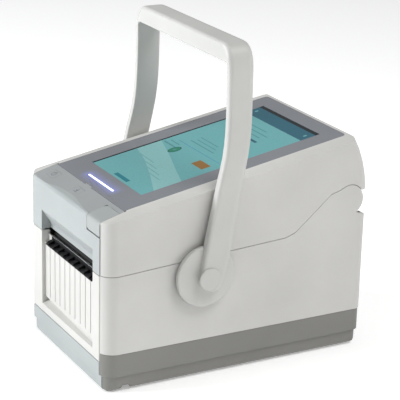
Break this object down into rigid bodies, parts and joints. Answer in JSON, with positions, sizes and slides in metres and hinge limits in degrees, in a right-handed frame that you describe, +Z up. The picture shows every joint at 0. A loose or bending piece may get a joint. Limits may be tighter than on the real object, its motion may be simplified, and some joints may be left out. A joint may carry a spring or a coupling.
{
  "type": "label printer",
  "caption": "Portable label printer with a tilted touch display on a hinged cover, a swinging carry handle, a front label exit and a grey battery base.",
  "frame": {"origin": "centre of the footprint on the surface that the rubber feet rest on", "axes": "+X to the right of the label exit, +Y to the rear, +Z up"},
  "size_m": [0.1656, 0.224, 0.256],
  "materials": {
    "white_shell": "fine moulded texture",
    "front_panel": "satin, light grey",
    "base_grey": "fine moulded texture",
    "bezel": "glossy screen border",
    "strip": "satin control strip",
    "screen": "lit display under glass",
    "led": "light guide",
    "black_plastic": "satin black",
    "rubber": "soft rubber",
    "steel": "bright",
    "board": "circuit board",
    "brass": "plain",
    "nylon": "natural nylon",
    "paper": "label stock",
    "card": "wound core"
  },
  "bodies": {
    "casing": {"base_tray": "base_grey", "base_frame": "base_grey", "base_front_panel": "front_panel", "rubber_feet": "rubber", "battery_pack": "black_plastic", "battery_contacts": "brass", "lower_casing": "white_shell", "lower_front_panel": "white_shell", "exit_lip": "black_plastic", "tear_bar": "steel", "mech_chassis": "steel", "bin_floor": "white_shell", "media_plate": "nylon", "gap_sensor": "black_plastic", "main_board": "board", "dc_jack": "black_plastic", "usb_port": "steel", "lan_port": "steel", "rear_panel": "base_grey", "stepper_motor": "black_plastic", "platen_bushes": "brass", "idler_axle": "steel", "latch_pins": "steel", "hinge_pins": "steel", "pivot_bosses": "white_shell", "pivot_pins": "steel", "casing_screws": "steel"},
    "platen": {"platen_shaft": "steel", "platen_roller": "rubber", "platen_gear": "nylon"},
    "idler": {"idler_gear": "nylon"},
    "pinion": {"motor_pinion": "brass"},
    "guide_r": {"guide_right": "nylon"},
    "guide_l": {"guide_left": "nylon"},
    "guide_drive": {"guide_pinion": "brass"},
    "roll": {"label_roll": "paper", "roll_core": "card"},
    "cover": {"cover_shell": "white_shell", "cover_front_panel": "front_panel", "control_strip": "strip", "bezel_frame": "bezel", "display_panel": "screen", "light_bar": "led", "display_board": "board", "hinge_barrel": "white_shell", "head_holder": "white_shell", "head_springs": "steel"},
    "latch": {"latch_bar": "steel"},
    "open_key": {"open_button": "front_panel"},
    "power": {"power_key": "strip"},
    "feed": {"feed_key": "strip"},
    "head": {"print_head": "steel"},
    "handle": {"handle_frame": "white_shell", "hub_caps": "white_shell"}
  },
  "joints": [
    {"name": "cover_hinge", "type": "hinge", "parent": "casing", "child": "cover", "pos_m": [0, 0.095, 0.123], "axis": [-1, 0, 0], "range_deg": [0, 38]},
    {"name": "handle_swing", "type": "hinge", "parent": "casing", "child": "handle", "pos_m": [0, -0.032, 0.0835], "axis": [-1, 0, 0], "range_deg": [-90, 90]},
    {"name": "platen_spin", "type": "hinge", "parent": "casing", "child": "platen", "pos_m": [0, -0.096, 0.083], "axis": [1, 0, 0], "continuous": true},
    {"name": "idler_spin", "type": "hinge", "parent": "casing", "child": "idler", "pos_m": [-0.0596, -0.07587, 0.06783], "axis": [1, 0, 0], "continuous": true},
    {"name": "pinion_spin", "type": "hinge", "parent": "casing", "child": "pinion", "pos_m": [-0.0596, -0.05622, 0.05989], "axis": [1, 0, 0], "continuous": true},
    {"name": "guide_right_slide", "type": "slide", "parent": "casing", "child": "guide_r", "axis": [1, 0, 0], "range_m": [0, 0.018]},
    {"name": "guide_left_slide", "type": "slide", "parent": "casing", "child": "guide_l", "axis": [-1, 0, 0], "range_m": [0, 0.018]},
    {"name": "guide_pinion_turn", "type": "hinge", "parent": "casing", "child": "guide_drive", "pos_m": [0, 0.02, 0.0377], "axis": [0, 0, 1], "range_deg": [-129.5, 0]},
    {"name": "roll_spin", "type": "hinge", "parent": "casing", "child": "roll", "pos_m": [0, 0.02, 0.088], "axis": [1, 0, 0], "continuous": true},
    {"name": "open_press", "type": "slide", "parent": "cover", "child": "open_key", "axis": [0, 0, -1], "range_m": [0, 0.001], "stiffness_N_per_m": 600},
    {"name": "latch_release", "type": "hinge", "parent": "cover", "child": "latch", "pos_m": [0, -0.0815, 0.112], "axis": [-1, 0, 0], "range_deg": [0, 9]},
    {"name": "power_press", "type": "slide", "parent": "cover", "child": "power", "axis": [0, 0.2688, -0.9632], "range_m": [0, 0.0006], "stiffness_N_per_m": 1500},
    {"name": "feed_press", "type": "slide", "parent": "cover", "child": "feed", "axis": [0, 0.2688, -0.9632], "range_m": [0, 0.0006], "stiffness_N_per_m": 1500},
    {"name": "head_float", "type": "hinge", "parent": "cover", "child": "head", "pos_m": [0, -0.079, 0.098], "axis": [-1, 0, 0], "range_deg": [0, 2], "stiffness_Nm_per_rad": 10, "deforming": ["head_springs"]}
  ],
  "couplings": [
    {"joint": "idler_spin", "follows": "platen_spin", "ratio": -0.66667},
    {"joint": "pinion_spin", "follows": "platen_spin", "ratio": 1.6667},
    {"joint": "guide_left_slide", "follows": "guide_right_slide", "ratio": 1},
    {"joint": "guide_pinion_turn", "follows": "guide_right_slide", "rad_per_m": -125},
    {"joint": "latch_release", "follows": "open_press", "rad_per_m": 150}
  ]
}
